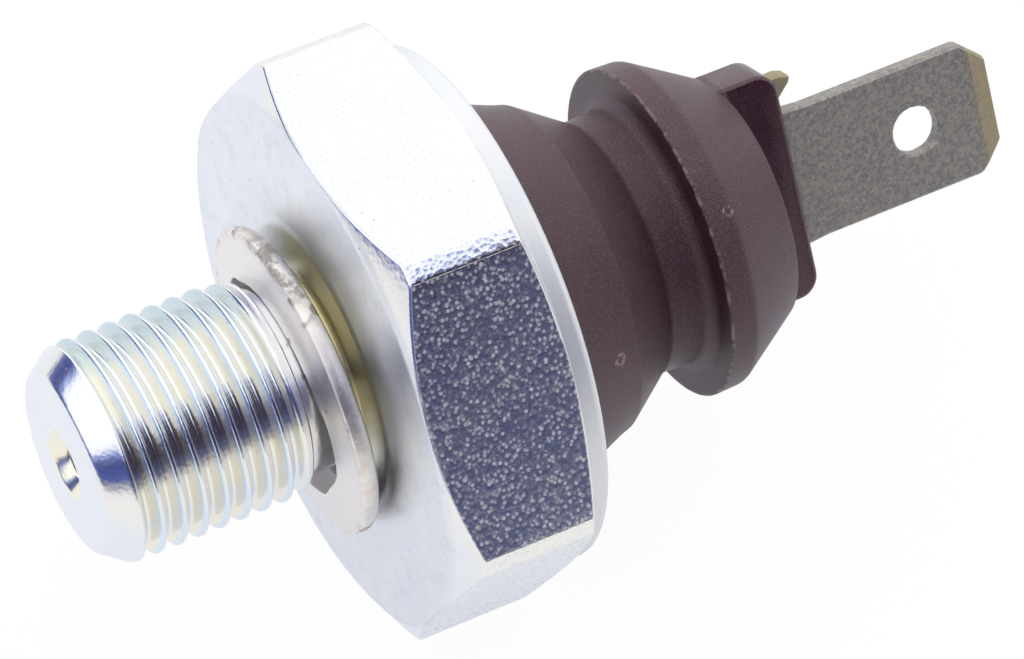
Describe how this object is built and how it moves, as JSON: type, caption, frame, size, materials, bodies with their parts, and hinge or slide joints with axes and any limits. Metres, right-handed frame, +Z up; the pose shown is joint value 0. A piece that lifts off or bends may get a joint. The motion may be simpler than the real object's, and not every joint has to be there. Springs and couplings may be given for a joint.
{
  "type": "oil pressure sender",
  "caption": "Screw-in oil pressure sender: zinc plated hexagon body with a threaded shank and loose sealing washer, brown moulded insulator and a flat blade terminal.",
  "frame": {"origin": "on the surface that the sender lies on, under the middle of its length", "axes": "+X along the sender's axis from the threaded tip to the blade, +Z up, square to the hexagon flat that it lies on"},
  "size_m": [0.0454, 0.0272, 0.024],
  "materials": {
    "hex_body": "bright zinc plate with a blue and yellow tint",
    "sealing_washer": "dull grey soft metal, a little worn",
    "seal_ring": "black nitrile rubber",
    "diaphragm": "amber film",
    "contact_ring": "plated steel",
    "plunger": "natural plastic",
    "contact_plate": "bright brass",
    "contact_spring": "bright spring wire",
    "contact_pin": "turned brass",
    "insulator": "dark maroon brown moulding, fine grain",
    "insulator_gasket": "black gasket",
    "terminal": "tarnished plated brass strip"
  },
  "bodies": {
    "sender": {"hex_body": "hex_body", "sealing_washer": "sealing_washer", "seal_ring": "seal_ring", "diaphragm": "diaphragm", "contact_ring": "contact_ring", "contact_spring": "contact_spring", "contact_pin": "contact_pin", "insulator": "insulator", "insulator_gasket": "insulator_gasket", "terminal": "terminal"},
    "moving_contact": {"plunger": "plunger", "contact_plate": "contact_plate"}
  },
  "joints": [
    {"name": "plunger_slide", "type": "slide", "parent": "sender", "child": "moving_contact", "axis": [1, 0, 0], "range_m": [0, 0.0005], "stiffness_N_per_m": 2000, "springref_m": -0.0022, "deforming": ["contact_spring"]}
  ]
}
